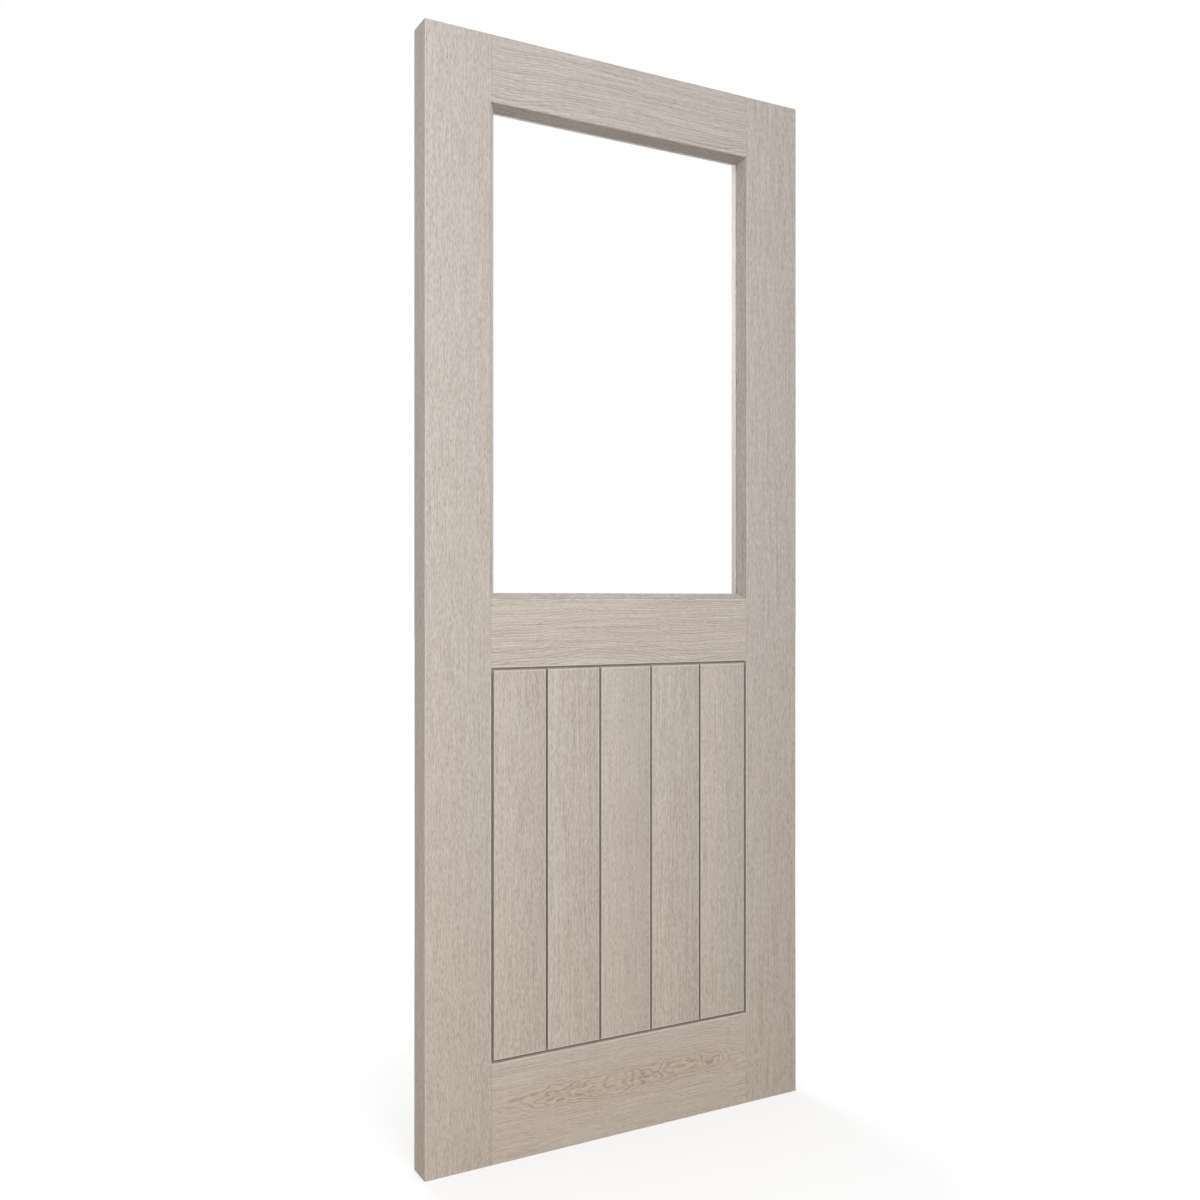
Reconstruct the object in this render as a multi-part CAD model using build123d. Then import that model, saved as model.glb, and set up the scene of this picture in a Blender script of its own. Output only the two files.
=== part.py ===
from build123d import *
import os

# A half-glazed interior door leaf in solid oak, made as a joiner makes it.
# Two stiles run the full height, and three rails are tenoned between them.
# One pane stands over the middle rail, between mitred splayed beads on both
# faces, nearer to the front face. Under it, tongued and grooved boards with V
# joints line both faces of a core that is housed in the frame.
# All lengths are in millimetres. X runs from the hanging edge to the closing
# edge, Y from the front face to the back face with 0 at mid thickness, and Z
# up from the foot of the leaf.

# The leaf
LEAF_WIDTH = 813.0
LEAF_HEIGHT = 2032.0
LEAF_THICKNESS = 54.0
EDGE_RADIUS = 1.5

# The frame, as widths seen on its face
STILE_WIDTH = 126.0
TOP_RAIL_WIDTH = 121.6
MID_RAIL_WIDTH = 123.6
BOTTOM_RAIL_WIDTH = 181.0
PANEL_HEIGHT = 713.2

# The tenons of the rails
TENON_THICKNESS = 16.0
TENON_LENGTH = 60.0
TENON_SHOULDER = 20.0
TENON_CLEARANCE = 0.2
MORTISE_END_GAP = 1.5

# The splayed edge that the frame turns to the boards, mitred in the corners
SPLAY_WIDTH = 3.2
SPLAY_DEPTH = 6.0

# The boards on each face, and the core between them
BOARD_COUNT = 5
CORE_THICKNESS = 16.0
CORE_HOUSING_DEPTH = 12.0
CORE_CLEARANCE = 0.2
V_HALF_WIDTH = 2.5
V_DEPTH = 5.0
BOARD_GAP = 0.4
TONGUE_THICKNESS = 5.0
TONGUE_LENGTH = 6.0
TONGUE_CLEARANCE = 0.2
TONGUE_END_GAP = 0.5

# The pane, its beads and the blocks that it stands on
GLASS_THICKNESS = 6.0
GLASS_SET_BACK = 17.0
GLASS_EDGE_GAP = 3.0
GLASS_FACE_GAP = 0.5
OPENING_RADIUS = 2.5
BEAD_WIDTH = 11.0
BEAD_SET_BACK = 1.5
BEAD_OUTER_FLAT = 0.8
BEAD_SIGHT_EDGE = 1.5
BLOCK_LENGTH = 40.0

# Heights and places that follow from the sizes above
FACE_Y = LEAF_THICKNESS / 2
CLEAR_WIDTH = LEAF_WIDTH - 2 * STILE_WIDTH
CLEAR_CENTRE_X = LEAF_WIDTH / 2
PANEL_FOOT_Z = BOTTOM_RAIL_WIDTH
PANEL_HEAD_Z = PANEL_FOOT_Z + PANEL_HEIGHT
GLASS_FOOT_Z = PANEL_HEAD_Z + MID_RAIL_WIDTH
GLASS_HEAD_Z = LEAF_HEIGHT - TOP_RAIL_WIDTH
BOARD_THICKNESS = (LEAF_THICKNESS - CORE_THICKNESS) / 2
GLASS_FRONT_Y = -FACE_Y + GLASS_SET_BACK
GLASS_BACK_Y = GLASS_FRONT_Y + GLASS_THICKNESS

SIDES = ("bottom", "right", "top", "left")


def block(x0, x1, y0, y1, z0, z1):
    """A square-edged block between two corners."""
    centre = Pos((x0 + x1) / 2, (y0 + y1) / 2, (z0 + z1) / 2)
    return centre * Box(x1 - x0, y1 - y0, z1 - z0)


def opening_side(side, section, reach, foot_z, head_z):
    """One mitred side of the lining of an opening between the stiles.

    The section is a face in (y, inward), with inward measured from the edge
    of the opening towards its middle. It reaches that far inward or, where
    reach is negative, outward into the frame.
    """
    turn = SIDES.index(side)
    height = head_z - foot_z
    along, across = (CLEAR_WIDTH, height) if turn % 2 == 0 else (height, CLEAR_WIDTH)
    edge = -across / 2
    bar = extrude(Plane.YZ * Pos(0, edge) * section, along / 2 + abs(reach), both=True)
    mitred = [
        (-along / 2, edge),
        (along / 2, edge),
        (along / 2 - reach, edge + reach),
        (-along / 2 + reach, edge + reach),
    ]
    wedge = extrude(Plane.XZ * make_face(Polyline(*mitred, close=True)), LEAF_THICKNESS, both=True)
    placed = Pos(CLEAR_CENTRE_X, 0, (foot_z + head_z) / 2) * Rot(0, -90 * turn, 0)
    return placed * (bar & wedge)


def splayed_edge(side):
    """The splayed strip that one frame piece turns to the boards."""
    section = make_face(Polyline(
        (-FACE_Y, 0),
        (-FACE_Y + SPLAY_DEPTH, SPLAY_WIDTH),
        (FACE_Y - SPLAY_DEPTH, SPLAY_WIDTH),
        (FACE_Y, 0),
        close=True,
    ))
    return opening_side(side, section, SPLAY_WIDTH, PANEL_FOOT_Z, PANEL_HEAD_Z)


def ease_glazed_edges(body):
    """Rounds what a frame piece has of the edges of the glazed opening."""
    for side in SIDES:
        for face in (-1, 1):
            corner = Pos(face * (FACE_Y - OPENING_RADIUS / 2), -OPENING_RADIUS / 2)
            centre = Pos(face * (FACE_Y - OPENING_RADIUS), -OPENING_RADIUS)
            section = corner * Rectangle(OPENING_RADIUS, OPENING_RADIUS) - centre * Circle(OPENING_RADIUS)
            body -= opening_side(side, section, -OPENING_RADIUS, GLASS_FOOT_Z, GLASS_HEAD_Z)
    return body


def core_housing():
    """The space that is grooved out of the frame for the edges of the core."""
    inset = SPLAY_WIDTH - CORE_HOUSING_DEPTH
    half = CORE_THICKNESS / 2 + CORE_CLEARANCE
    return block(
        STILE_WIDTH + inset, LEAF_WIDTH - STILE_WIDTH - inset,
        -half, half,
        PANEL_FOOT_Z + inset, PANEL_HEAD_Z - inset,
    )


def tenon_pair(foot_z, head_z, clearance, end_gap):
    """Both tenons of a rail in one bar, or with a clearance their mortises."""
    half = TENON_THICKNESS / 2 + clearance
    reach = TENON_LENGTH + end_gap
    return block(
        STILE_WIDTH - reach, LEAF_WIDTH - STILE_WIDTH + reach,
        -half, half,
        foot_z + TENON_SHOULDER - clearance, head_z - TENON_SHOULDER + clearance,
    )


RAIL_SPANS = {
    "bottom_rail": (0.0, PANEL_FOOT_Z),
    "mid_rail": (PANEL_HEAD_Z, GLASS_FOOT_Z),
    "top_rail": (GLASS_HEAD_Z, LEAF_HEIGHT),
}


def stile(side):
    """A full-height stile with its mortises, core groove and splayed edge."""
    x0 = 0.0 if side == "left" else LEAF_WIDTH - STILE_WIDTH
    outer_x = 0.0 if side == "left" else LEAF_WIDTH
    body = block(x0, x0 + STILE_WIDTH, -FACE_Y, FACE_Y, 0, LEAF_HEIGHT)
    outer_edges = [
        edge for edge in body.edges().filter_by(Axis.Z)
        if abs(edge.center().X - outer_x) < EDGE_RADIUS
    ]
    body = fillet(outer_edges, EDGE_RADIUS) + splayed_edge(side)
    body -= core_housing()
    for foot_z, head_z in RAIL_SPANS.values():
        body -= tenon_pair(foot_z, head_z, TENON_CLEARANCE, MORTISE_END_GAP)
    return ease_glazed_edges(body)


def rail(name, splayed_sides):
    """A rail between the stiles, with a stub tenon at each end."""
    foot_z, head_z = RAIL_SPANS[name]
    body = block(STILE_WIDTH, LEAF_WIDTH - STILE_WIDTH, -FACE_Y, FACE_Y, foot_z, head_z)
    for side in splayed_sides:
        body += splayed_edge(side)
    body -= core_housing()
    return ease_glazed_edges(body) + tenon_pair(foot_z, head_z, 0.0, 0.0)


def board_joint_x(index):
    """The line of a V joint, counted from the left edge of the panel."""
    return STILE_WIDTH + CLEAR_WIDTH * index / BOARD_COUNT


def front_board(index):
    """One tongued and grooved board of the front face."""
    first = index == 0
    last = index == BOARD_COUNT - 1
    left_x = board_joint_x(index) + (SPLAY_WIDTH if first else 0) + BOARD_GAP / 2
    right_x = board_joint_x(index + 1) - (SPLAY_WIDTH if last else 0) - BOARD_GAP / 2
    left_width, left_depth = (SPLAY_WIDTH, SPLAY_DEPTH) if first else (V_HALF_WIDTH, V_DEPTH)
    right_width, right_depth = (SPLAY_WIDTH, SPLAY_DEPTH) if last else (V_HALF_WIDTH, V_DEPTH)
    back_y = -FACE_Y + BOARD_THICKNESS
    tongue_mid_y = (-FACE_Y + V_DEPTH + back_y) / 2

    outline = [(left_x, -FACE_Y + left_depth), (left_x + left_width, -FACE_Y)]
    outline += [(right_x - right_width, -FACE_Y), (right_x, -FACE_Y + right_depth)]
    if not last:
        half = TONGUE_THICKNESS / 2
        tip_x = right_x + TONGUE_LENGTH
        outline += [(right_x, tongue_mid_y - half), (tip_x, tongue_mid_y - half)]
        outline += [(tip_x, tongue_mid_y + half), (right_x, tongue_mid_y + half)]
    outline += [(right_x, back_y), (left_x, back_y)]
    if not first:
        half = TONGUE_THICKNESS / 2 + TONGUE_CLEARANCE
        root_x = left_x + TONGUE_LENGTH - BOARD_GAP + TONGUE_END_GAP
        outline += [(left_x, tongue_mid_y + half), (root_x, tongue_mid_y + half)]
        outline += [(root_x, tongue_mid_y - half), (left_x, tongue_mid_y - half)]

    foot_z = PANEL_FOOT_Z + SPLAY_WIDTH + BOARD_GAP / 2
    head_z = PANEL_HEAD_Z - SPLAY_WIDTH - BOARD_GAP / 2
    section = Plane.XY.offset(foot_z) * make_face(Polyline(*outline, close=True))
    board = extrude(section, head_z - foot_z)
    for end_z, inward in ((foot_z, 1), (head_z, -1)):
        splay = [
            (-FACE_Y, end_z),
            (-FACE_Y, end_z + inward * SPLAY_WIDTH),
            (-FACE_Y + SPLAY_DEPTH, end_z),
        ]
        cutter = extrude(Plane.YZ * make_face(Polyline(*splay, close=True)), LEAF_WIDTH)
        board -= cutter
    return board


def panel_core():
    """The core that both layers of boards lie on, housed in the frame."""
    inset = SPLAY_WIDTH - CORE_HOUSING_DEPTH + MORTISE_END_GAP
    half = CORE_THICKNESS / 2
    return block(
        STILE_WIDTH + inset, LEAF_WIDTH - STILE_WIDTH - inset,
        -half, half,
        PANEL_FOOT_Z + inset, PANEL_HEAD_Z - inset,
    )


def bead(side, face_y, glass_y):
    """One splayed glazing bead between a face of the leaf and the pane."""
    inwards = 1 if glass_y > face_y else -1
    front_y = face_y + inwards * BEAD_SET_BACK
    back_y = glass_y - inwards * GLASS_FACE_GAP
    section = make_face(Polyline(
        (front_y, 0),
        (front_y, BEAD_OUTER_FLAT),
        (back_y - inwards * BEAD_SIGHT_EDGE, BEAD_WIDTH),
        (back_y, BEAD_WIDTH),
        (back_y, 0),
        close=True,
    ))
    return opening_side(side, section, BEAD_WIDTH, GLASS_FOOT_Z, GLASS_HEAD_Z)


def glass_pane():
    """The pane, held between the beads with room all round its edge."""
    return block(
        STILE_WIDTH + GLASS_EDGE_GAP, LEAF_WIDTH - STILE_WIDTH - GLASS_EDGE_GAP,
        GLASS_FRONT_Y, GLASS_BACK_Y,
        GLASS_FOOT_Z + GLASS_EDGE_GAP, GLASS_HEAD_Z - GLASS_EDGE_GAP,
    )


def setting_blocks():
    """Two blocks at the quarter points, between the middle rail and the pane."""
    pair = []
    for place_x in (STILE_WIDTH + CLEAR_WIDTH / 4, STILE_WIDTH + CLEAR_WIDTH * 3 / 4):
        pair.append(block(
            place_x - BLOCK_LENGTH / 2, place_x + BLOCK_LENGTH / 2,
            GLASS_FRONT_Y, GLASS_BACK_Y,
            GLASS_FOOT_Z, GLASS_FOOT_Z + GLASS_EDGE_GAP,
        ))
    return Compound(children=pair)


def build():
    """Every piece of the leaf, by name."""
    pieces = {
        "left_stile": stile("left"),
        "right_stile": stile("right"),
        "top_rail": rail("top_rail", []),
        "mid_rail": rail("mid_rail", ["top"]),
        "bottom_rail": rail("bottom_rail", ["bottom"]),
        "panel_core": panel_core(),
        "glass_pane": glass_pane(),
        "glass_setting_blocks": setting_blocks(),
    }
    for index in range(BOARD_COUNT):
        board = front_board(index)
        pieces[f"front_board_{index + 1}"] = board
        pieces[f"back_board_{index + 1}"] = mirror(board, Plane.XZ)
    for side in SIDES:
        pieces[f"front_bead_{side}"] = bead(side, -FACE_Y, GLASS_FRONT_Y)
        pieces[f"back_bead_{side}"] = bead(side, FACE_Y, GLASS_BACK_Y)
    return pieces


os.makedirs("parts", exist_ok=True)
for node, solid in build().items():
    export_step(solid, f"parts/{node}.step")
    print(node, round(solid.volume / 1000, 1), "cm3")
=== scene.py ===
import math
from typing import NamedTuple

import bmesh
import bpy
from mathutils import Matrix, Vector


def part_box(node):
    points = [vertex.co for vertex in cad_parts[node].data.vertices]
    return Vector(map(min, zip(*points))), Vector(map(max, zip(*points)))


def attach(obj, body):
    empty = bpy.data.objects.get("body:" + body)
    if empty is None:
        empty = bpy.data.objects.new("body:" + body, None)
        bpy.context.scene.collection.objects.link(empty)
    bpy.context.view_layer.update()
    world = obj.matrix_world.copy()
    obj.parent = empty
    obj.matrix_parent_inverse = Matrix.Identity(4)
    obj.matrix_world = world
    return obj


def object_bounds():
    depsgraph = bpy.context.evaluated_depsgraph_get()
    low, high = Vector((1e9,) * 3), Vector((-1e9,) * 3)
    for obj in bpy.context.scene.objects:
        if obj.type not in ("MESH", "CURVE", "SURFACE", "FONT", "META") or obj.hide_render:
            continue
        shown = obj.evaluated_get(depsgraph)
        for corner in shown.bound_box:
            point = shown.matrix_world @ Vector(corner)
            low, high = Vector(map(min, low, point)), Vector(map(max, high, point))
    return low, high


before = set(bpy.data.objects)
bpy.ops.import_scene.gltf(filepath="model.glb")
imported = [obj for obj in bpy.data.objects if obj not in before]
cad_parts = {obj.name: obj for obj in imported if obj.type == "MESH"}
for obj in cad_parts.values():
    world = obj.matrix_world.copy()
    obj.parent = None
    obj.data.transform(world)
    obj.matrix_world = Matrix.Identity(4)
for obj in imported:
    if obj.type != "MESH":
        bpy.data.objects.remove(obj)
CAD_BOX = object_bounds()

bl_info = {
    "name": "Half-glazed oak door leaf",
    "version": (1, 0, 0),
    "blender": (4, 5, 0),
    "location": "3D View > Sidebar > Door Leaf",
    "description": "Limed oak, clear glass and glazing trim for a half-glazed door leaf",
    "category": "Object",
}

MM = 0.001
FACES = ("front", "back")
SIDES = ("bottom", "right", "top", "left")

# the joints of the boarded panel as the CAD has them, in millimetres
BOARD_COUNT = 5
BOARD_GAP = 0.4
V_SPLAY = 3.2
V_HALF_WIDTH = 2.5


def linear(code):
    """An sRGB hex colour as linear red, green, blue and alpha."""
    values = [int(code[i:i + 2], 16) / 255 for i in (1, 3, 5)]
    return [v / 12.92 if v <= 0.04045 else ((v + 0.055) / 1.055) ** 2.4 for v in values] + [1.0]


def colour(name, description, code):
    """A colour that a user may change, given as an sRGB hex value."""
    return bpy.props.FloatVectorProperty(
        name=name, description=description, subtype="COLOR", size=4, min=0, max=1, default=linear(code)
    )


def amount(name, description, default, **kind):
    """A number from nought up that a user may change."""
    return bpy.props.FloatProperty(name=name, description=description, default=default, min=0, **kind)


def factor(name, description, default):
    """A share of the whole that a user may change."""
    return amount(name, description, default, subtype="FACTOR", max=1)


def length(name, description, millimetres):
    """A length that a user may change, given in millimetres."""
    return amount(name, description, millimetres * MM, subtype="DISTANCE", unit="LENGTH", precision=5)


def power(name, description, watts):
    """The power of a lamp that a user may change."""
    return amount(name, description, watts, subtype="POWER", unit="POWER")


class DoorOakSettings(bpy.types.PropertyGroup):
    """The limed oak of the frame, the boards and the beads."""

    pale: colour("Pale wood", "The limed wood between the growth rings", "#D1CAC4")
    deep: colour("Deep wood", "The darker wood along the growth rings", "#A89D95")
    late: colour("Late wood", "The brown line that ends a growth ring", "#8B7C71")
    # this colour is the lime in the grain and also the painted highlights on the arrises and beside the V
    # joints
    lime: colour("Lime", "The lime left in the grain and on the arrises", "#E8E2DB")
    pore: colour("Pores", "The open pores of the oak", "#7E7064")
    # this colour is the dust in the joints and also the painted shade in the V joints
    dust_and_shade: colour("Dust", "The dust and wax in the joints", "#4E453D")
    pink: colour("Pinkish wood", "Tint of the pinker parts", "#FEFBFA")
    green: colour("Greenish wood", "Tint of the greyer, greener parts", "#FDFCFA")
    # painted shade: the wood is made darker and warmer towards the foot of the leaf
    painted_foot_shade: colour("Foot tint", "Tint of the wood towards the foot of the leaf", "#FFFAF2")
    heart_tint: colour("Heart tint", "Tint of the wood near the heart of the log", "#FFFCF8")
    # painted light: the leaf's colour is made paler at its left edge and darker at its right
    painted_light_falloff: factor("Bleach", "How much paler daylight has made the hanging edge than the other", 0.13)
    fibre_contrast: amount("Fibre contrast", "How strongly the fine streaks show", 1.9)
    pore_share: factor("Pore share", "How strongly the pores show", 0.35)
    lime_share: factor("Lime share", "How strongly the lime in the grain shows", 0.3)
    # painted highlight along the arrises of the leaf
    arris_highlight: factor("Arris lime", "How much lime is left along the arrises of the leaf", 0.35)
    # painted highlight beside the V joints
    joint_highlight: factor("Joint lime", "How much lime is left along the V joints", 0.5)
    # dust and painted shade darken the V joints
    joint_dust_and_shade: factor("Joint dust", "How much dust has gathered in the V joints", 0.62)
    hairline_dust: factor("Hairline dust", "How much dust the hairlines between the pieces hold", 0.35)
    pore_length: length("Pore length", "Length of a row of pores along the grain", 16)
    pore_width: length("Pore width", "Width of a row of pores across the grain", 1.1)
    fibre_length: length("Fibre length", "Length of the fine streaks along the grain", 130)
    fibre_width: length("Fibre width", "Width of the fine streaks across the grain", 1.35)
    dash_length: length("Dash length", "Length of the short dashes that the brushing left", 10)
    dash_width: length("Dash width", "Width of the short dashes that the brushing left", 0.95)
    relief: length("Relief", "Depth of the open grain", 0.12)
    roughness: factor("Roughness", "Roughness of the sanded wood", 0.6)


class DoorGlazingSettings(bpy.types.PropertyGroup):
    """The pane, the tape that beds it, and the two woods inside the leaf."""

    glass: colour("Glass", "Tint of the clear pane", "#FFFFFF")
    tape: colour("Glazing tape", "Foam tape between the pane and the beads", "#B9AFA3")
    tape_width: length("Tape width", "Width of the glazing tape on the pane", 7)
    tape_setback: length("Tape setback", "From the sight edge of the beads to the tape", 0.6)
    tape_slack: length("Tape slack", "Air left between the tape and the bead", 0.05)
    core: colour("Core board", "The board in the middle of the panel", "#CBBB9F")
    block: colour("Setting blocks", "The hardwood blocks under the pane", "#B59B7C")


class DoorStageSettings(bpy.types.PropertyGroup):
    """The camera, the lamps, and the pale floor and backdrop."""

    camera_place: bpy.props.FloatVectorProperty(
        name="Camera place", description="Where the camera stands", subtype="TRANSLATION",
        unit="LENGTH", default=(-0.7509, -2.0184, 1.0159),
    )
    camera_turn: bpy.props.FloatProperty(
        name="Camera turn", description="Turn of the camera to the right of straight at the leaf",
        subtype="ANGLE", unit="ROTATION", default=math.radians(28.92),
    )
    camera_lens: bpy.props.FloatProperty(
        name="Lens", description="Focal length in millimetres on a sensor 36 mm wide", default=36.2, min=1,
    )
    white: colour("Backdrop", "The backdrop and floor as they are seen", "#FFFFFF")
    floor: colour("Floor", "The floor as it lights the leaf from below", "#78736D")
    floor_paint: colour("Floor paint", "The floor where it is seen, on which the shadow lies", "#BCBCBC")
    floor_glow: amount("Floor glow", "How far the floor is lifted to white round the leaf's foot", 0.475)
    dome: colour("Dome light", "The soft light from all round", "#FFFFFF")
    dome_level: amount("Dome level", "Mean level of the soft light from all round", 0.52)
    dome_lead: amount("Dome lead", "How much brighter the dome is over the front", 0.62)
    dome_side: bpy.props.FloatVectorProperty(
        name="Dome side", description="Where the dome is brightest", subtype="DIRECTION",
        default=(0.0, -0.72, 0.69),
    )
    key_power: power("Key lamp", "Power of the soft lamp over the front", 26)
    side_power: power("Side lamp", "Power of the soft lamp high over the hanging edge", 5.5)
    back_power: power("Back lamp", "Power of the soft lamp over the back", 44)


def add(tree, kind, inputs=None, output=0, **settings):
    """Adds one node with its settings, fills or links its inputs, and returns one output."""
    made = tree.nodes.new(kind)
    for name, value in settings.items():
        setattr(made, name, value)
    for key, value in (inputs or {}).items():
        if isinstance(value, bpy.types.NodeSocket):
            tree.links.new(value, made.inputs[key])
        else:
            made.inputs[key].default_value = value
    return made.outputs[output] if len(made.outputs) else made


def empty_material(title):
    """A new material and its node tree, still without nodes."""
    material = bpy.data.materials.new(title)
    material.use_nodes = True
    material.node_tree.nodes.clear()
    return material, material.node_tree


def empty_group(title, kind, inputs, outputs):
    """A node group with nothing but its sockets, named under their types, and what it is given."""
    tree = bpy.data.node_groups.new(title, kind)
    for in_out, sockets in (("INPUT", inputs), ("OUTPUT", outputs)):
        for socket_type, names in sockets.items():
            for name in names:
                tree.interface.new_socket(name=name, in_out=in_out, socket_type=socket_type)
    return tree, add(tree, "NodeGroupInput").node.outputs


def dress(node_name, material):
    """Gives a CAD node its material."""
    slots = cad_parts[node_name].material_slots
    if not slots:
        raise RuntimeError(f"{node_name} has no material slot")
    for slot in slots:
        slot.material = material


class Cut(NamedTuple):
    """How a piece was sawn from its log, in millimetres from the middle of the piece."""

    seed: int
    across: float  # where the heart of the log lies, across the piece
    behind: float  # and behind it
    ring: float  # width of a growth ring
    bend: tuple  # bend of the heart along the piece: its height, length and start
    figure: float  # how strongly the rings show
    crook: float = 0.0  # how crooked and dark they are near the heart
    tone: float = 1.0
    sap_side: float = 0.0  # how much paler the sap side is
    brushed: float = 2.3  # how strongly the dashes of the brushing show
    upright: bool = True  # whether the grain runs up the leaf


CUTS = {
    "left_stile": Cut(11, -260, -190, 3.1, (10, 900, 200), 0.12, 0.0, 1.01, 0.04),
    "right_stile": Cut(23, -240, -210, 3.3, (12, 800, 0), 0.12, 0.0, 0.98, 0.04),
    "bottom_rail": Cut(38, 9, 7, 4.6, (20, 1150, 35), 0.24, 1.0, 1.05, brushed=1.15, upright=False),
    "mid_rail": Cut(41, -120, 34, 4.4, (13, 420, 60), 0.56, 0.3, 1.085, brushed=1.4, upright=False),
    "top_rail": Cut(43, -118, 30, 4.4, (11, 430, 40), 0.56, 0.3, 1.03, brushed=1.4, upright=False),
}
BOARD_CUT = Cut(61, -190, -150, 3.0, (9, 640, 100), 0.05, 0.0, 1.01, 0.075)
BEAD_CUT = Cut(90, -90, 70, 2.4, (5, 700, 0), 0.12)
# the front beads are painted darker as shade, the top one most, and the left front bead paler as painted
# light; the back beads keep the wood's own tone
BEAD_PAINTED_SHADE_AND_LIGHT = {"front": (0.74, 0.74, 0.67, 1.06), "back": (1.0, 1.0, 1.0, 1.0)}
# from one piece to the next, in seeds
BOARD_SEED_STEP, BACK_BOARD_SEED_STEP, BEAD_SEED_STEP = 3, 19, 7
# from one seed to the next in the patterns, in millimetres
SEED_SHIFT = 137.0


class Streak(NamedTuple):
    """Noise drawn out along the grain, in millimetres."""

    width: float
    run: float
    detail: float
    start: float  # where in the noise it starts
    sway: float = 0.0  # how far it moves the heart, or the rings in ring widths


WANDER = Streak(900.0, 210.0, 1.0, 3.1, 14.0)  # of the heart, sideways
KNUCKLES = Streak(900.0, 95.0, 2.0, 13.7, 22.0)  # of the heart, in and out
WAVER = Streak(34.0, 260.0, 2.0, 7.7, 1.1)  # of all the rings
RIPPLE = Streak(21.0, 80.0, 3.0, 9.3, 3.0)  # of the rings near the heart
PATCHES = Streak(60.0, 900.0, 2.0, 31.1)  # of hue

# the crooked wood fades out between these distances from the heart, in millimetres
CROOKED_TO, SMOOTH_FROM = 18.0, 50.0
# how far the dust and painted shade fill a V round the panel: under the middle rail, and elsewhere
DUST_AND_SHADE_UNDER_RAIL, DUST_AND_SHADE_ELSEWHERE = 0.33, 0.75
# how far inside the panel's edge the hairline beside a stile lies, in millimetres
HAIRLINE_INSIDE = 0.45
# a painted highlight lies in a line this far outside each V, on its arris, with a core and a soft edge
HIGHLIGHT_LINE_OUTSIDE, HIGHLIGHT_LINE_CORE, HIGHLIGHT_LINE_HALF_WIDTH = 0.7, 0.4, 1.2
# and a painted highlight runs along the arrises of the leaf, which it fades into from the first to the
# second
ARRIS_HIGHLIGHT_FROM, ARRIS_HIGHLIGHT_FULL = 2.0, 0.8
# what is taken off the fibres, so that the wood between them stays pale
FIBRE_START = 0.635
# how dark a ring is, from the start of its year to the end
RING_SHADE = ((0.0, 0.55), (0.06, 1.0), (0.2, 0.6), (0.45, 0.15), (0.85, 0.0), (1.0, 0.55))


def streaks(tree, place, streak):
    """One kind of streak in the wood, from 0 to 1."""
    drawn = add(tree, "ShaderNodeVectorMath", {
        0: place, 1: (1 / streak.width, 1 / streak.width, 1 / streak.run),
    }, operation="MULTIPLY")
    moved = add(tree, "ShaderNodeVectorMath", {0: drawn, 1: [streak.start] * 3}, operation="ADD")
    return add(tree, "ShaderNodeTexNoise", {
        "Vector": moved, "Scale": 1.0, "Detail": streak.detail, "Roughness": 0.55,
    })


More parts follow.
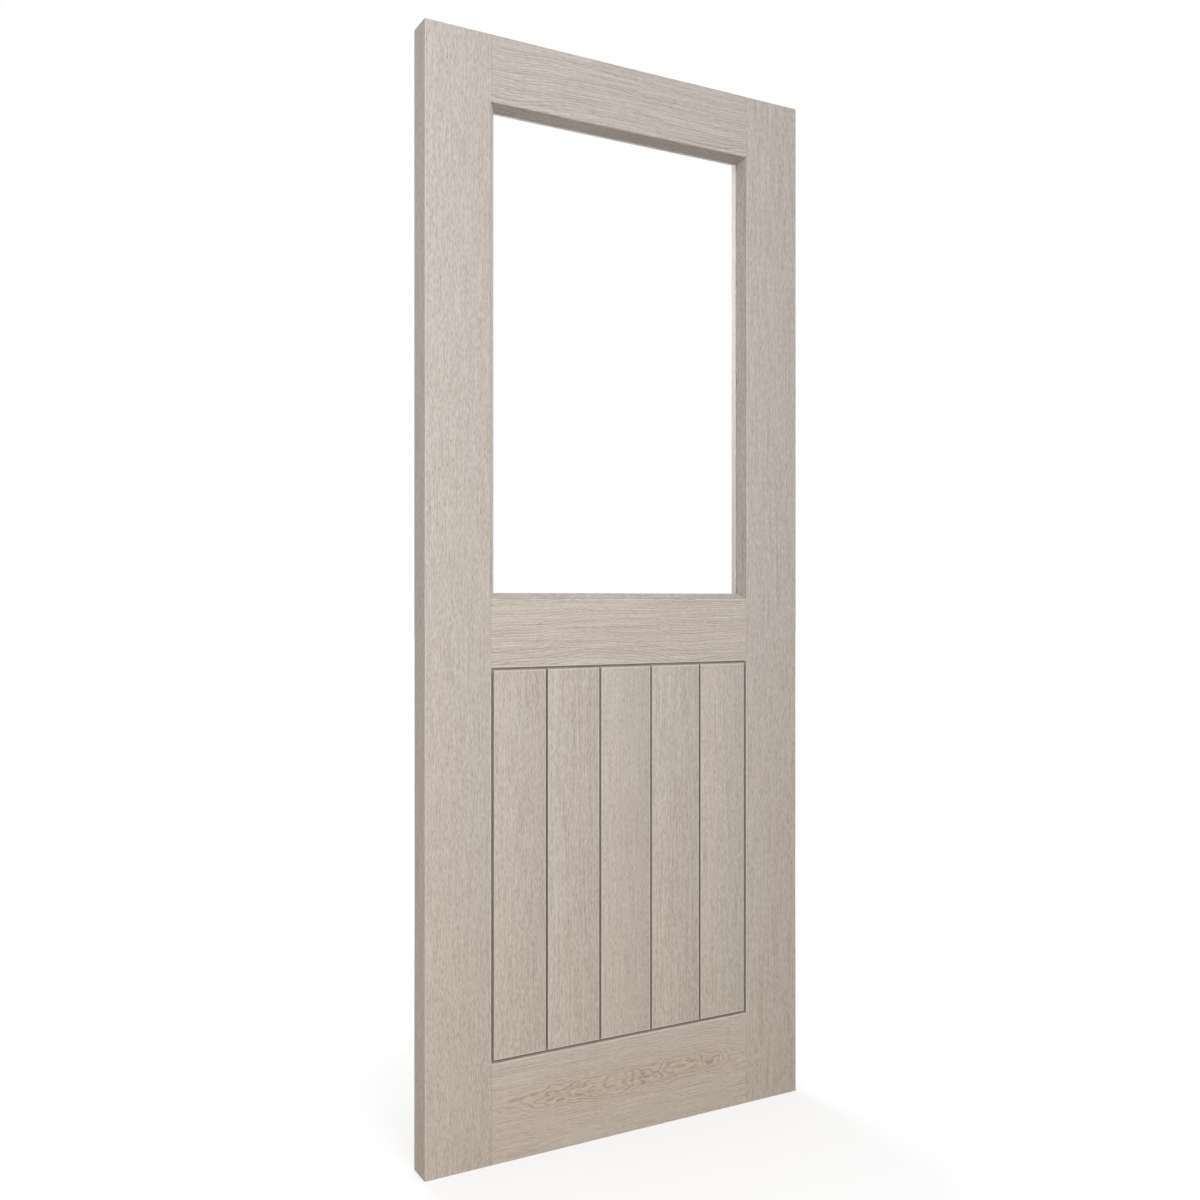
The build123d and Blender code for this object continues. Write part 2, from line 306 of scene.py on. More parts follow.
def ring_nodes(tree, given, across, place):
    """The growth rings about the heart of the log, and how crooked they are."""

    def swaying(streak):
        """Streaks that go from one side to the other by their sway."""
        return add(tree, "ShaderNodeMapRange", {
            0: streaks(tree, place, streak), 3: -streak.sway, 4: streak.sway,
        })

    # the heart of the log bends along the piece, which closes rings into eyes
    along = add(tree, "ShaderNodeMath", {0: across["Z"], 1: given["Bend Start"]}, operation="SUBTRACT")
    turns = add(tree, "ShaderNodeMath", {0: along, 1: given["Bend Length"]}, operation="DIVIDE")
    angle = add(tree, "ShaderNodeMath", {0: turns, 1: math.tau}, operation="MULTIPLY")
    wave = add(tree, "ShaderNodeMath", {0: angle}, operation="COSINE")
    bend = add(tree, "ShaderNodeMath", {0: wave, 1: given["Bend Height"]}, operation="MULTIPLY")
    bend = add(tree, "ShaderNodeMath", {
        0: swaying(KNUCKLES), 1: given["Crook"], 2: bend,
    }, operation="MULTIPLY_ADD")

    beside = add(tree, "ShaderNodeMath", {0: across["X"], 1: given["Heart Across"]}, operation="SUBTRACT")
    beside = add(tree, "ShaderNodeMath", {0: beside, 1: swaying(WANDER)}, operation="ADD")
    behind = add(tree, "ShaderNodeMath", {0: across["Y"], 1: given["Heart Depth"]}, operation="SUBTRACT")
    behind = add(tree, "ShaderNodeMath", {0: behind, 1: bend}, operation="ADD")
    heart = add(tree, "ShaderNodeCombineXYZ", {"X": beside, "Y": behind, "Z": 0.0})
    radius = add(tree, "ShaderNodeVectorMath", {0: heart}, "Value", operation="LENGTH")

    # the rings are crooked near the heart and run smooth away from it
    heartwood = add(tree, "ShaderNodeMapRange", {0: radius, 1: CROOKED_TO, 2: SMOOTH_FROM, 3: 1.0, 4: 0.1})
    crooked = add(tree, "ShaderNodeMath", {0: heartwood, 1: given["Crook"]}, operation="MULTIPLY")
    rings = add(tree, "ShaderNodeMath", {0: radius, 1: given["Ring Width"]}, operation="DIVIDE")
    rings = add(tree, "ShaderNodeMath", {0: rings, 1: swaying(WAVER)}, operation="ADD")
    rings = add(tree, "ShaderNodeMath", {
        0: swaying(RIPPLE), 1: crooked, 2: rings,
    }, operation="MULTIPLY_ADD")
    part = add(tree, "ShaderNodeMath", {0: rings}, operation="FRACT")
    shade = add(tree, "ShaderNodeFloatCurve", {"Value": part})
    mapping = shade.node.mapping
    points = mapping.curves[0].points
    first, *inner, last = RING_SHADE
    points[0].location, points[-1].location = first, last
    for point in inner:
        points.new(*point)
    mapping.update()

    # no two years are alike: some rings stay faint, and near the heart all are darker
    years = add(tree, "ShaderNodeTexNoise", {
        "W": rings, "Scale": 0.31, "Detail": 2.0,
    }, noise_dimensions="1D")
    year = add(tree, "ShaderNodeMapRange", {0: years, 1: 0.3, 2: 0.7, 3: 0.1, 4: 1.0})
    ring = add(tree, "ShaderNodeMath", {0: shade, 1: year}, operation="MULTIPLY")
    strength = add(tree, "ShaderNodeMath", {0: crooked, 1: 2.2, 2: 1.0}, operation="MULTIPLY_ADD")
    strength = add(tree, "ShaderNodeMath", {0: strength, 1: given["Figure"]}, operation="MULTIPLY")
    ring = add(tree, "ShaderNodeMath", {0: ring, 1: strength}, operation="MULTIPLY")
    return ring, crooked


def panel_edges():
    """The edges of the boarded panel, left, right, foot and head, in millimetres."""
    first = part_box("front_board_1")[0]
    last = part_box(f"front_board_{BOARD_COUNT}")[1]
    reach = V_SPLAY + BOARD_GAP / 2
    return first[0] / MM - reach, last[0] / MM + reach, first[2] / MM - reach, last[2] / MM + reach


def joint_layers(tree, leaf, settings):
    """The painted highlights beside the joints and on the arrises, then the dust and painted shade in the
    joints.
    """

    def beyond(axis, middle, half):
        """How far a point lies beyond the two lines at that half distance from a middle."""
        off = add(tree, "ShaderNodeMath", {0: leaf[axis], 1: middle}, operation="SUBTRACT")
        off = add(tree, "ShaderNodeMath", {0: off}, operation="ABSOLUTE")
        return add(tree, "ShaderNodeMath", {0: off, 1: half}, operation="SUBTRACT")

    left, right, low, high = panel_edges()
    beyond_x = beyond("X", (left + right) / 2, (right - left) / 2)
    beyond_z = beyond("Z", (low + high) / 2, (high - low) / 2)
    out = add(tree, "ShaderNodeMath", {0: beyond_x, 1: beyond_z}, operation="MAXIMUM")
    # the V round the panel has its bottom one splay inside the panel's edge
    round_v = add(tree, "ShaderNodeMath", {0: out, 1: V_SPLAY}, operation="ADD")
    round_v = add(tree, "ShaderNodeMath", {0: round_v}, operation="ABSOLUTE")
    # the V joints between the boards stand at even steps inside it, and nowhere else
    pitch = (right - left) / BOARD_COUNT
    board_v = add(tree, "ShaderNodeMath", {0: leaf["X"], 1: left}, operation="SUBTRACT")
    board_v = add(tree, "ShaderNodeMath", {0: board_v, 1: pitch / 2}, operation="PINGPONG")
    outside = add(tree, "ShaderNodeMath", {0: out, 1: -2 * V_SPLAY}, operation="GREATER_THAN")
    far_off = 1000.0
    board_v = add(tree, "ShaderNodeMath", {0: outside, 1: far_off, 2: board_v}, operation="MULTIPLY_ADD")
    # dust and painted shade darken the Vs between the boards most, and the V under the middle rail least
    round_dust_and_shade = add(tree, "ShaderNodeMapRange", {
        0: leaf["Z"], 1: high - 3 * V_SPLAY, 2: high - 2 * V_SPLAY, 3: DUST_AND_SHADE_ELSEWHERE, 4: DUST_AND_SHADE_UNDER_RAIL,
    })

    painted_highlights, dusts_and_shade = [], []
    for off, half, most in ((round_v, V_SPLAY, round_dust_and_shade), (board_v, V_HALF_WIDTH, 1.0)):
        dust_and_shade = add(tree, "ShaderNodeMapRange", {0: off, 1: half * 0.6, 2: half, 3: 1.0, 4: 0.0})
        dust_and_shade = add(tree, "ShaderNodeMath", {0: dust_and_shade, 1: most}, operation="MULTIPLY")
        dusts_and_shade.append(add(tree, "ShaderNodeMath", {0: dust_and_shade, 1: settings.joint_dust_and_shade}, operation="MULTIPLY"))
        # a painted highlight, in the lime colour, lies in a line along the edge of the V
        edge = add(tree, "ShaderNodeMath", {0: off, 1: half + HIGHLIGHT_LINE_OUTSIDE}, operation="SUBTRACT")
        edge = add(tree, "ShaderNodeMath", {0: edge}, operation="ABSOLUTE")
        painted_highlights.append(add(tree, "ShaderNodeMapRange", {
            0: edge, 1: HIGHLIGHT_LINE_CORE, 2: HIGHLIGHT_LINE_HALF_WIDTH, 3: settings.joint_highlight, 4: 0.0,
        }))
    # dust sits in the hairline where a rail or a bead meets a stile
    hairline = add(tree, "ShaderNodeMath", {0: beyond_x, 1: HAIRLINE_INSIDE}, operation="ADD")
    hairline = add(tree, "ShaderNodeMath", {0: hairline}, operation="ABSOLUTE")
    dusts_and_shade.append(add(tree, "ShaderNodeMapRange", {
        0: hairline, 1: 0.2, 2: 0.5, 3: settings.hairline_dust, 4: 0.0,
    }))
    # a painted highlight, in the lime colour, runs along the arrises of the leaf, where its width and depth
    # end
    wide, half_depth = (CAD_BOX[1][axis] / MM for axis in (0, 1))
    ends = []
    for axis, middle, half in (("X", wide / 2, wide / 2), ("Y", 0.0, half_depth)):
        ends.append(add(tree, "ShaderNodeMapRange", {
            0: beyond(axis, middle, half), 1: -ARRIS_HIGHLIGHT_FROM, 2: -ARRIS_HIGHLIGHT_FULL,
        }, interpolation_type="SMOOTHSTEP"))
    arris = add(tree, "ShaderNodeMath", {0: ends[0], 1: ends[1]}, operation="MULTIPLY")
    painted_highlights.append(add(tree, "ShaderNodeMath", {0: arris, 1: settings.arris_highlight}, operation="MULTIPLY"))
    return [(share, settings.lime) for share in painted_highlights] + [(share, settings.dust_and_shade) for share in dusts_and_shade]


def lay_over(tree, wood, layers, blend_type="MIX"):
    """Lays colours over the wood one after another, each by its own share."""
    for share, tint in layers:
        wood = add(tree, "ShaderNodeMix", {
            0: share, 6: wood, 7: tint,
        }, 2, data_type="RGBA", blend_type=blend_type)
    return wood


def grain_group():
    """Limed oak as solid wood: rings about the heart, fibres, pores, lime and hue, with painted light and
    shade across the leaf, towards its foot and at its joints.
    """
    settings = bpy.context.scene.door_oak
    tree, given = empty_group("Limed oak grain", "ShaderNodeTree", {
        "NodeSocketVector": ("Place", "Place On Leaf"),
        "NodeSocketFloat": (
            "Seed", "Heart Across", "Heart Depth", "Ring Width", "Bend Height", "Bend Length", "Bend Start",
            "Figure", "Crook", "Tone", "Sap Side", "Half Width", "Brushed",
        ),
    }, {"NodeSocketColor": ("Color",), "NodeSocketFloat": ("Roughness", "Height")})

    # every piece reads its own part of the patterns
    shift = add(tree, "ShaderNodeMath", {0: given["Seed"], 1: SEED_SHIFT}, operation="MULTIPLY")
    shift = add(tree, "ShaderNodeCombineXYZ", {"X": shift, "Y": shift, "Z": shift})
    place = add(tree, "ShaderNodeVectorMath", {0: given["Place"], 1: shift}, operation="ADD")
    across = add(tree, "ShaderNodeSeparateXYZ", {0: given["Place"]}).node.outputs
    leaf = add(tree, "ShaderNodeSeparateXYZ", {0: given["Place On Leaf"]}).node.outputs
    ring, crooked = ring_nodes(tree, given, across, place)

    # oak pores are 0.3 mm wide: their rows are drawn four times as coarse, and
    # the dashes as wide as a pixel of the picture, so that they show from afar
    fibre_size = settings.fibre_width / MM, settings.fibre_length / MM
    dash_size = settings.dash_width / MM, settings.dash_length / MM
    pore_width, pore_length = settings.pore_width / MM, settings.pore_length / MM
    fibre = streaks(tree, place, Streak(*fibre_size, 3.0, 1.7))
    dash = streaks(tree, place, Streak(*dash_size, 1.0, 41.9))
    pores = streaks(tree, place, Streak(pore_width, pore_length, 1.0, 5.9))
    pores = add(tree, "ShaderNodeMapRange", {0: pores, 1: 0.60, 2: 0.74})
    limed = streaks(tree, place, Streak(pore_width * 1.3, pore_length, 1.0, 17.3))
    limed = add(tree, "ShaderNodeMapRange", {0: limed, 1: 0.60, 2: 0.76})

    # brushing makes the tone vary more, and leaves its mean as it is
    brushed = add(tree, "ShaderNodeMath", {0: dash, 1: given["Brushed"]}, operation="MULTIPLY")
    depth = add(tree, "ShaderNodeMath", {
        0: fibre, 1: settings.fibre_contrast, 2: brushed,
    }, operation="MULTIPLY_ADD")
    level = add(tree, "ShaderNodeMath", {
        0: given["Brushed"], 1: 0.5, 2: FIBRE_START,
    }, operation="MULTIPLY_ADD")
    depth = add(tree, "ShaderNodeMath", {0: depth, 1: level}, operation="SUBTRACT", use_clamp=True)
    pore_share = add(tree, "ShaderNodeMath", {0: pores, 1: settings.pore_share}, operation="MULTIPLY")
    lime_share = add(tree, "ShaderNodeMath", {0: limed, 1: settings.lime_share}, operation="MULTIPLY")
    wood = lay_over(tree, settings.pale, (
        (depth, settings.deep), (ring, settings.late),
        (pore_share, settings.pore), (lime_share, settings.lime),
    ))

    # near its heart the wood is yellower and browner; towards the foot it is painted darker and warmer, as
    # painted shade
    hue = add(tree, "ShaderNodeMapRange", {0: streaks(tree, place, PATCHES), 1: 0.35, 2: 0.65})
    hue = lay_over(tree, settings.pink, ((hue, settings.green),))
    foot = add(tree, "ShaderNodeMapRange", {
        0: leaf["Z"], 1: 0.0, 2: CAD_BOX[1][2] / MM, 3: 1.0, 4: 0.0,
    })
    foot = add(tree, "ShaderNodeMath", {0: foot, 1: 2.0}, operation="POWER")
    wood = lay_over(tree, wood, (
        (1.0, hue), (crooked, settings.heart_tint), (foot, settings.painted_foot_shade),
    ), "MULTIPLY")

    # the sap side of a board is paler; the leaf is also painted paler at its left edge and darker at its
    # right, as painted light falling off across it
    sap = add(tree, "ShaderNodeMath", {0: across["X"], 1: given["Half Width"]}, operation="DIVIDE")
    sap = add(tree, "ShaderNodeMath", {0: sap, 1: given["Sap Side"]}, operation="MULTIPLY")
    tone = add(tree, "ShaderNodeMath", {0: given["Tone"], 1: sap}, operation="SUBTRACT")
    painted_light_across = add(tree, "ShaderNodeMapRange", {
        0: leaf["X"], 1: 0.0, 2: CAD_BOX[1][0] / MM, 3: 1 + settings.painted_light_falloff / 2, 4: 1 - settings.painted_light_falloff / 2,
    })
    tone = add(tree, "ShaderNodeMath", {0: tone, 1: painted_light_across}, operation="MULTIPLY")
    wood = add(tree, "ShaderNodeVectorMath", {0: wood, "Scale": tone}, operation="SCALE")
    wood = lay_over(tree, wood, joint_layers(tree, leaf, settings))

    rough = add(tree, "ShaderNodeMath", {
        0: fibre, 1: 0.14, 2: settings.roughness - 0.07,
    }, operation="MULTIPLY_ADD")
    rough = add(tree, "ShaderNodeMath", {0: pores, 1: 0.15, 2: rough}, operation="MULTIPLY_ADD")
    height = add(tree, "ShaderNodeMath", {0: fibre, 1: 0.5}, operation="MULTIPLY")
    height = add(tree, "ShaderNodeMath", {0: pores, 1: -0.5, 2: height}, operation="MULTIPLY_ADD")
    add(tree, "NodeGroupOutput", {"Color": wood, "Roughness": rough, "Height": height})
    return tree


def limed_oak(grain, node_name, cut, half_width=None, middle=None):
    """Limed oak, planed, brushed open and sanded, for one piece.

    A dead, chalky wood: pale lime in the open grain over a grey-brown ground,
    hardly any gloss, and the rings of the log running through face and edge.
    """
    settings = bpy.context.scene.door_oak
    low, high = (Vector(corner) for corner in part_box(node_name))
    size = (high - low) / MM
    centre = (low + high) / 2
    if middle is not None:
        centre.x = middle
    # upright pieces keep X across, Y deep and Z along; a rail is laid over so
    # that its height comes across and its length runs along
    turn = (0, 0, 0) if cut.upright else (0, math.pi / 2, 0)
    shift = (-centre if cut.upright else Vector((-centre.z, -centre.y, centre.x))) / MM
    bend_height, bend_length, bend_start = cut.bend

    material, tree = empty_material(f"Limed oak, sanded, {node_name}")
    at = add(tree, "ShaderNodeTexCoord", {}, "Object")
    laid = add(tree, "ShaderNodeMapping", {
        "Vector": at, "Location": shift, "Rotation": turn, "Scale": (1 / MM, 1 / MM, 1 / MM),
    })
    on_leaf = add(tree, "ShaderNodeVectorMath", {0: at, "Scale": 1 / MM}, operation="SCALE")
    made = add(tree, "ShaderNodeGroup", node_tree=grain, inputs={
        "Place": laid, "Place On Leaf": on_leaf, "Seed": cut.seed, "Heart Across": cut.across,
        "Heart Depth": cut.behind, "Ring Width": cut.ring, "Bend Height": bend_height,
        "Bend Length": bend_length, "Bend Start": bend_start, "Figure": cut.figure, "Crook": cut.crook,
        "Tone": cut.tone, "Sap Side": cut.sap_side, "Brushed": cut.brushed,
        "Half Width": half_width or (size.x if cut.upright else size.z) / 2,
    }).node.outputs
    normal = add(tree, "ShaderNodeBump", {
        "Height": made["Height"], "Strength": 0.5, "Distance": settings.relief,
    })
    shader = add(tree, "ShaderNodeBsdfPrincipled", {
        "Base Color": made["Color"], "Roughness": made["Roughness"],
        "Normal": normal, "IOR": 1.5, "Specular IOR Level": 0.35,
    })
    add(tree, "ShaderNodeOutputMaterial", {"Surface": shader})
    return material


class DOOR_OT_frame_oak(bpy.types.Operator):
    """Finish the stiles and rails in limed oak"""

    bl_idname = "door.frame_oak"
    bl_label = "Finish the frame"

    def execute(self, context):
        grain = grain_group()
        for name, cut in CUTS.items():
            dress(name, limed_oak(grain, name, cut))
        return {"FINISHED"}


class DOOR_OT_boards(bpy.types.Operator):
    """Finish the boards of the lower panel, front and back"""

    bl_idname = "door.boards"
    bl_label = "Finish the boards"

    def execute(self, context):
        grain = grain_group()
        left, right = panel_edges()[:2]
        pitch = (right - left) / BOARD_COUNT
        for turn, face in enumerate(FACES):
            for index in range(BOARD_COUNT):
                name = f"{face}_board_{index + 1}"
                middle = (left + pitch * (index + 0.5)) * MM
                seed = BOARD_CUT.seed + index * BOARD_SEED_STEP + turn * BACK_BOARD_SEED_STEP
                cut = BOARD_CUT._replace(seed=seed)
                dress(name, limed_oak(grain, name, cut, half_width=pitch / 2, middle=middle))
        return {"FINISHED"}


class DOOR_OT_beads(bpy.types.Operator):
    """Finish the glazing beads"""

    bl_idname = "door.beads"
    bl_label = "Finish the beads"

    def execute(self, context):
        grain = grain_group()
        for face in FACES:
            for turn, side in enumerate(SIDES):
                name = f"{face}_bead_{side}"
                cut = BEAD_CUT._replace(
                    seed=BEAD_CUT.seed + turn * BEAD_SEED_STEP + len(face),
                    # a front bead's tone carries its painted shade or light
                    tone=BEAD_PAINTED_SHADE_AND_LIGHT[face][turn],
                    upright=side in ("left", "right"),
                )
                dress(name, limed_oak(grain, name, cut))
        return {"FINISHED"}


class DOOR_OT_glass(bpy.types.Operator):
    """Finish the pane"""

    bl_idname = "door.glass"
    bl_label = "Finish the glass"

    def execute(self, context):
        tint = context.scene.door_glazing.glass
        # float glass, fire polished: clear, sharp reflections, no tint to speak of;
        # it lets the lamps through, as a real pane does
        material, tree = empty_material("Clear float glass")
        glass = add(tree, "ShaderNodeBsdfPrincipled", {
            "Base Color": tint, "Roughness": 0.0, "IOR": 1.5, "Transmission Weight": 1.0,
        })
        clear = add(tree, "ShaderNodeBsdfTransparent", {"Color": tint})
        shadow = add(tree, "ShaderNodeLightPath", {}, "Is Shadow Ray")
        both = add(tree, "ShaderNodeMixShader", {0: shadow, 1: glass, 2: clear})
        add(tree, "ShaderNodeOutputMaterial", {"Surface": both})
        dress("glass_pane", material)
        return {"FINISHED"}


def plain_wood(title, tint, fleck, run):
    """Bare wood or wood board that only shows where the leaf is opened.

    Sawn and sanded, with no finish: dry, dull, and flecked along its fibres.
    The fleck is its width and the run its length, in metres.
    """
    material, tree = empty_material(title)
    at = add(tree, "ShaderNodeTexCoord", {}, "Object")
    drawn = add(tree, "ShaderNodeMapping", {"Vector": at, "Scale": (1 / run, 1 / fleck, 1 / fleck)})
    flecks = add(tree, "ShaderNodeTexNoise", {"Vector": drawn, "Scale": 1.0, "Detail": 3.0})
    shade = add(tree, "ShaderNodeMapRange", {0: flecks, 1: 0.3, 2: 0.7, 3: 0.86, 4: 1.08})
    wood = add(tree, "ShaderNodeVectorMath", {0: tint[:3], "Scale": shade}, operation="SCALE")
    normal = add(tree, "ShaderNodeBump", {"Height": flecks, "Strength": 0.4, "Distance": 0.1 * MM})
    shader = add(tree, "ShaderNodeBsdfPrincipled", {
        "Base Color": wood, "Roughness": 0.75, "Normal": normal, "IOR": 1.5,
    })
    add(tree, "ShaderNodeOutputMaterial", {"Surface": shader})
    return material


class DOOR_OT_inner_wood(bpy.types.Operator):
    """Finish the core of the panel and the blocks under the pane"""

    bl_idname = "door.inner_wood"
    bl_label = "Finish the inner wood"

    def execute(self, context):
        settings = context.scene.door_glazing
        core = plain_wood("Fibre board, pressed and sanded", settings.core, 1.5 * MM, 1.5 * MM)
        block = plain_wood("Hardwood, sawn and planed", settings.block, 0.8 * MM, 12.5 * MM)
        dress("panel_core", core)
        dress("glass_setting_blocks", block)
        return {"FINISHED"}


def foam_tape(tint):
    """Closed-cell foam with a matt skin: soft, even and dull, where it shows at all."""
    material, tree = empty_material("Foam glazing tape")
    at = add(tree, "ShaderNodeTexCoord", {}, "Object")
    cells = add(tree, "ShaderNodeTexNoise", {"Vector": at, "Scale": 1 / (0.6 * MM), "Detail": 2.0})
    shade = add(tree, "ShaderNodeMapRange", {0: cells, 3: 0.9, 4: 1.1})
    skin = add(tree, "ShaderNodeVectorMath", {0: tint[:3], "Scale": shade}, operation="SCALE")
    shader = add(tree, "ShaderNodeBsdfPrincipled", {"Base Color": skin, "Roughness": 0.8, "IOR": 1.5})
    add(tree, "ShaderNodeOutputMaterial", {"Surface": shader})
    return material


def tape_group():
    """Nodes for a closed frame of flat tape, mitred in its corners."""
    tree, given = empty_group("Glazing tape frame", "GeometryNodeTree", {
        "NodeSocketGeometry": ("Geometry",),
        "NodeSocketFloat": ("Frame Width", "Frame Height", "Tape Width", "Tape Thickness"),
        "NodeSocketVector": ("Centre",),
        "NodeSocketMaterial": ("Material",),
    }, {"NodeSocketGeometry": ("Geometry",)})
    for socket in tree.interface.items_tree:
        if socket.socket_type == "NodeSocketFloat":
            socket.subtype = "DISTANCE"
    path = add(tree, "GeometryNodeCurvePrimitiveQuadrilateral", {
        "Width": given["Frame Width"], "Height": given["Frame Height"],
    })
    # the section stands aslant in every corner, so it is drawn wider by the root
    # of two, which leaves the tape at its width along the sides
    slant = add(tree, "ShaderNodeMath", {0: given["Tape Width"], 1: math.sqrt(2)}, operation="MULTIPLY")
    section = add(tree, "GeometryNodeCurvePrimitiveQuadrilateral", {
        "Width": slant, "Height": given["Tape Thickness"],
    })
    tape = add(tree, "GeometryNodeCurveToMesh", {"Curve": path, "Profile Curve": section})
    flat = add(tree, "GeometryNodeSetShadeSmooth", {"Geometry": tape, "Shade Smooth": False})
    stood = add(tree, "GeometryNodeTransform", {
        "Geometry": flat, "Translation": given["Centre"], "Rotation": (math.pi / 2, 0, 0),
    })
    real = add(tree, "GeometryNodeRealizeInstances", {"Geometry": stood})
    out = add(tree, "GeometryNodeSetMaterial", {"Geometry": real, "Material": given["Material"]})
    add(tree, "NodeGroupOutput", {"Geometry": out})
    return tree


def bake(name, tree, inputs):
    """Runs a node tree with these inputs and returns its mesh as one object."""
    seed = bpy.data.objects.new(name + "_seed", bpy.data.meshes.new(name + "_seed"))
    bpy.context.scene.collection.objects.link(seed)
    modifier = seed.modifiers.new("nodes", "NODES")
    modifier.node_group = tree
    for socket in tree.interface.items_tree:
        if socket.in_out == "INPUT" and socket.name in inputs:
            modifier[socket.identifier] = inputs[socket.name]
    evaluated = seed.evaluated_get(bpy.context.evaluated_depsgraph_get())
    mesh = bpy.data.meshes.new_from_object(evaluated)
    mesh.name = name
    bpy.data.objects.remove(seed)
    # points that coincide are welded, and every face is turned outwards
    solid = bmesh.new()
    solid.from_mesh(mesh)
    bmesh.ops.remove_doubles(solid, verts=solid.verts, dist=0.001 * MM)
    bmesh.ops.recalc_face_normals(solid, faces=solid.faces)
    solid.to_mesh(mesh)
    solid.free()
    piece = bpy.data.objects.new(name, mesh)
    bpy.context.scene.collection.objects.link(piece)
    return piece


class DOOR_OT_tape(bpy.types.Operator):
    """Bed the pane in glazing tape, between its faces and the beads"""

    bl_idname = "door.tape"
    bl_label = "Tape the pane"

    def execute(self, context):
        settings = context.scene.door_glazing
        foam = foam_tape(settings.tape)
        nodes = tape_group()
        pane_low, pane_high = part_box("glass_pane")
        for face, turn in (("front", -1), ("back", 1)):
            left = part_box(f"{face}_bead_left")
            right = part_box(f"{face}_bead_right")
            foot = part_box(f"{face}_bead_bottom")
            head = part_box(f"{face}_bead_top")
            # the tape sticks to the pane and stops just short of the bead
            pane_y, bead_y = (pane_low[1], left[1][1]) if turn < 0 else (pane_high[1], left[0][1])
            thickness = abs(bead_y - pane_y) - settings.tape_slack
            # its middle runs this far outside the sight edges, on both sides together
            outward = 2 * settings.tape_setback + settings.tape_width
            piece = bake(f"glazing_tape_{face}", nodes, {
                "Frame Width": right[0][0] - left[1][0] + outward,
                "Frame Height": head[0][2] - foot[1][2] + outward,
                "Tape Width": settings.tape_width,
                "Tape Thickness": thickness,
                "Centre": (
                    (left[1][0] + right[0][0]) / 2,
                    pane_y + turn * thickness / 2,
                    (foot[1][2] + head[0][2]) / 2,
                ),
                "Material": foam,
            })
            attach(piece, "root")
        return {"FINISHED"}


FLOOR_REACH = 30.0
# round this point the floor glows by its own setting, and from the second distance
# on it glows white, in metres
LEAF_MIDDLE = (0.4, 0.0, 0.0)
GLOW_FROM, WHITE_FROM = 0.6, 2.0


class Lamp(NamedTuple):
    """A square soft lamp, in metres."""

    name: str
    power: str  # the setting that holds its power
    place: tuple
    aim: tuple
    width: float


LAMPS = (
    Lamp("key_lamp", "key_power", (0.0, -2.6, 1.8), (0.35, 0.0, 1.2), 1.2),
    Lamp("side_lamp", "side_power", (-2.2, -0.3, 2.4), (0.0, 0.0, 1.9), 0.8),
    Lamp("back_lamp", "back_power", (0.4, 2.6, 2.3), (0.4, 0.0, 1.2), 1.3),
)


def looked_at(tree):
    """1 where a thing is looked at, mirrored or through glass too, and 0 where it lights others."""
    path = add(tree, "ShaderNodeLightPath").node.outputs
    seen = path["Is Camera Ray"]
    for kind in ("Is Glossy Ray", "Is Transmission Ray"):
        seen = add(tree, "ShaderNodeMath", {0: seen, 1: path[kind]}, operation="MAXIMUM")
    return seen


def painted_floor(settings):
    """A matt painted floor: even and white far off, with a faint soft shadow round the leaf."""
    material, tree = empty_material("Matt painted floor")
    bounce = add(tree, "ShaderNodeBsdfDiffuse", {"Color": settings.floor})
    paint = add(tree, "ShaderNodeBsdfDiffuse", {"Color": settings.floor_paint})
    at = add(tree, "ShaderNodeTexCoord", {}, "Object")
    away = add(tree, "ShaderNodeVectorMath", {0: at, 1: LEAF_MIDDLE}, "Value", operation="DISTANCE")
    lift = add(tree, "ShaderNodeMapRange", {
        0: away, 1: GLOW_FROM, 2: WHITE_FROM, 3: settings.floor_glow, 4: 1.0,
    })
    glow = add(tree, "ShaderNodeEmission", {"Color": settings.white, "Strength": lift})
    lifted = add(tree, "ShaderNodeAddShader", {0: paint, 1: glow})
    surface = add(tree, "ShaderNodeMixShader", {0: looked_at(tree), 1: bounce, 2: lifted})
    add(tree, "ShaderNodeOutputMaterial", {"Surface": surface})
    return material


def light_dome(settings):
    """A world that is plain white to look at and lights the leaf more from the front."""
    world = bpy.data.worlds.new("Studio backdrop")
    world.use_nodes = True
    tree = world.node_tree
    tree.nodes.clear()
    way = add(tree, "ShaderNodeTexCoord", {}, "Generated")
    lead = add(tree, "ShaderNodeVectorMath", {
        0: way, 1: settings.dome_side,
    }, "Value", operation="DOT_PRODUCT")
    level = add(tree, "ShaderNodeMath", {
        0: lead, 1: settings.dome_lead, 2: settings.dome_level,
    }, operation="MULTIPLY_ADD")
    dome = add(tree, "ShaderNodeBackground", {"Color": settings.dome, "Strength": level})
    backdrop = add(tree, "ShaderNodeBackground", {"Color": settings.white, "Strength": 1.0})
    surface = add(tree, "ShaderNodeMixShader", {0: looked_at(tree), 1: dome, 2: backdrop})
    add(tree, "ShaderNodeOutputWorld", {"Surface": surface})
    return world


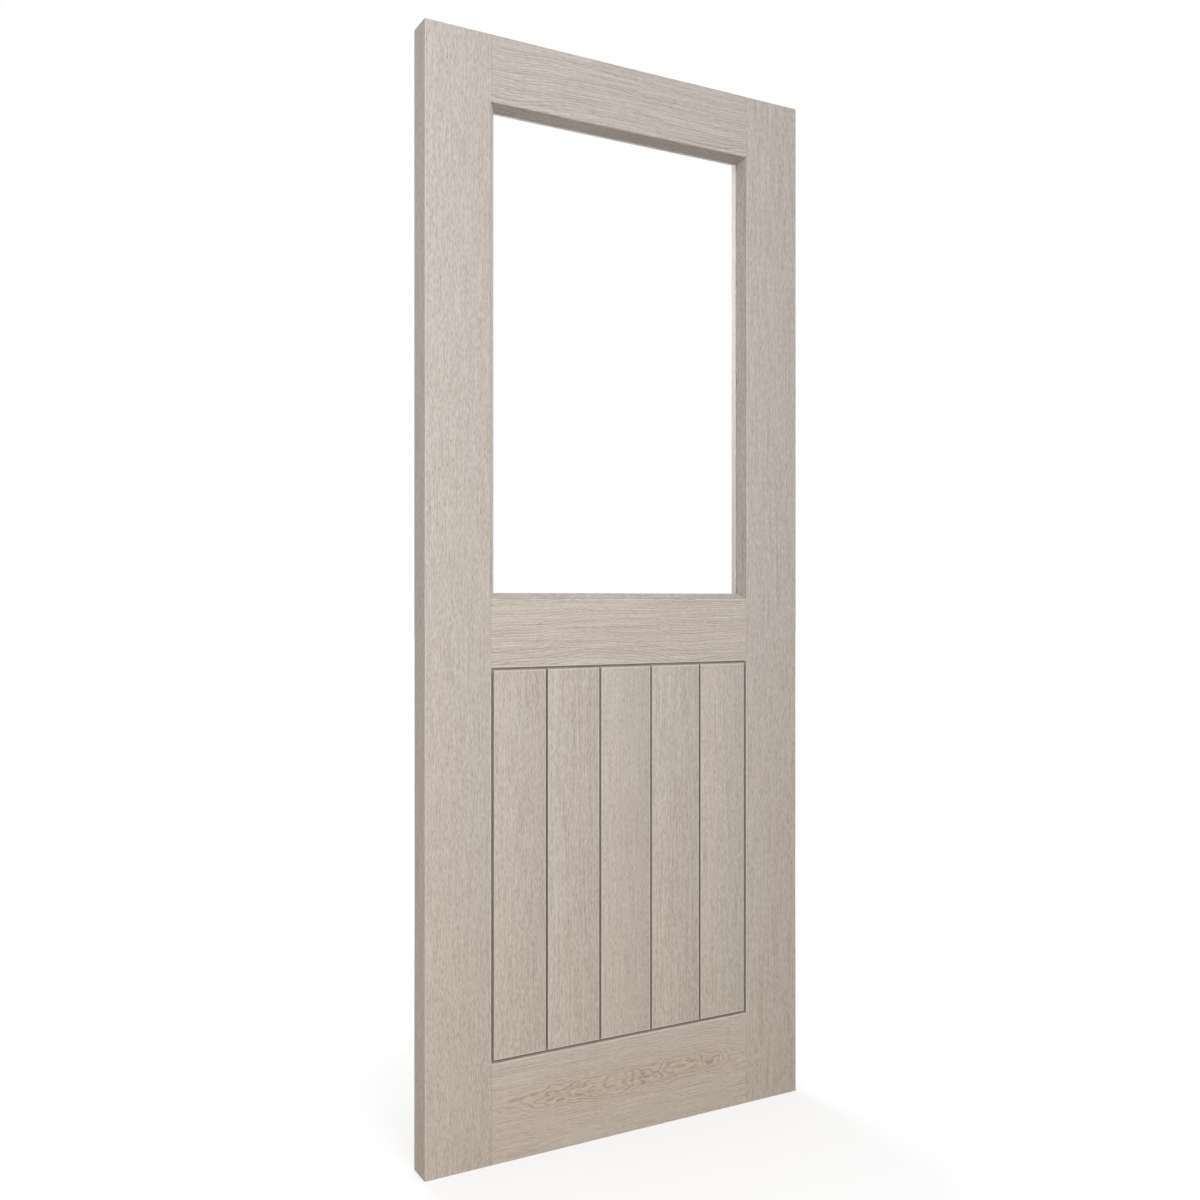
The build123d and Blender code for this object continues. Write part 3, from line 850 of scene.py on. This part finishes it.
class DOOR_OT_stage(bpy.types.Operator):
    """Set up the floor, the soft light and the camera"""

    bl_idname = "door.stage"
    bl_label = "Set the stage"

    def execute(self, context):
        settings = context.scene.door_stage
        scene = context.scene
        mesh = bpy.data.meshes.new("studio_floor")
        corners = ((-1, -1), (1, -1), (1, 1), (-1, 1))
        mesh.from_pydata([(FLOOR_REACH * x, FLOOR_REACH * y, 0) for x, y in corners], [], [(0, 1, 2, 3)])
        mesh.materials.append(painted_floor(settings))
        floor = bpy.data.objects.new("studio_floor", mesh)
        scene.collection.objects.link(floor)
        scene.world = light_dome(settings)

        for name, power_name, place, aim, width in LAMPS:
            lamp = bpy.data.lights.new(name, "AREA")
            lamp.energy = getattr(settings, power_name)
            lamp.size = width
            holder = bpy.data.objects.new(name, lamp)
            holder.location = place
            holder.rotation_euler = (Vector(aim) - Vector(place)).to_track_quat("-Z", "Y").to_euler()
            holder.visible_camera = False
            scene.collection.objects.link(holder)

        camera = bpy.data.cameras.new("camera")
        camera.sensor_width = 36.0
        camera.lens = settings.camera_lens
        camera.clip_start, camera.clip_end = 0.05, 100.0
        holder = bpy.data.objects.new("camera", camera)
        holder.location = settings.camera_place
        holder.rotation_euler = (math.pi / 2, 0, -settings.camera_turn)
        scene.collection.objects.link(holder)
        scene.camera = holder
        scene.view_settings.view_transform = "Standard"
        return {"FINISHED"}


STEPS = (
    DOOR_OT_frame_oak, DOOR_OT_boards, DOOR_OT_beads, DOOR_OT_glass, DOOR_OT_inner_wood,
    DOOR_OT_tape, DOOR_OT_stage,
)
SETTINGS = {
    "door_oak": DoorOakSettings, "door_glazing": DoorGlazingSettings, "door_stage": DoorStageSettings,
}


class DOOR_PT_leaf(bpy.types.Panel):
    """The steps that dress the door leaf"""

    bl_idname = "DOOR_PT_leaf"
    bl_label = "Door Leaf"
    bl_space_type = "VIEW_3D"
    bl_region_type = "UI"
    bl_category = "Door Leaf"

    def draw(self, context):
        for step in STEPS:
            self.layout.operator(step.bl_idname)


def register():
    for group in SETTINGS.values():
        bpy.utils.register_class(group)
    for step in STEPS:
        bpy.utils.register_class(step)
    bpy.utils.register_class(DOOR_PT_leaf)
    for name, group in SETTINGS.items():
        setattr(bpy.types.Scene, name, bpy.props.PointerProperty(type=group))


def unregister():
    for name in SETTINGS:
        delattr(bpy.types.Scene, name)
    bpy.utils.unregister_class(DOOR_PT_leaf)
    for step in reversed(STEPS):
        bpy.utils.unregister_class(step)
    for group in SETTINGS.values():
        bpy.utils.unregister_class(group)


def main():
    register()
    bpy.ops.door.frame_oak()
    bpy.ops.door.boards()
    bpy.ops.door.beads()
    bpy.ops.door.glass()
    bpy.ops.door.inner_wood()
    bpy.ops.door.tape()
    bpy.ops.door.stage()


if __name__ == "__main__":
    main()
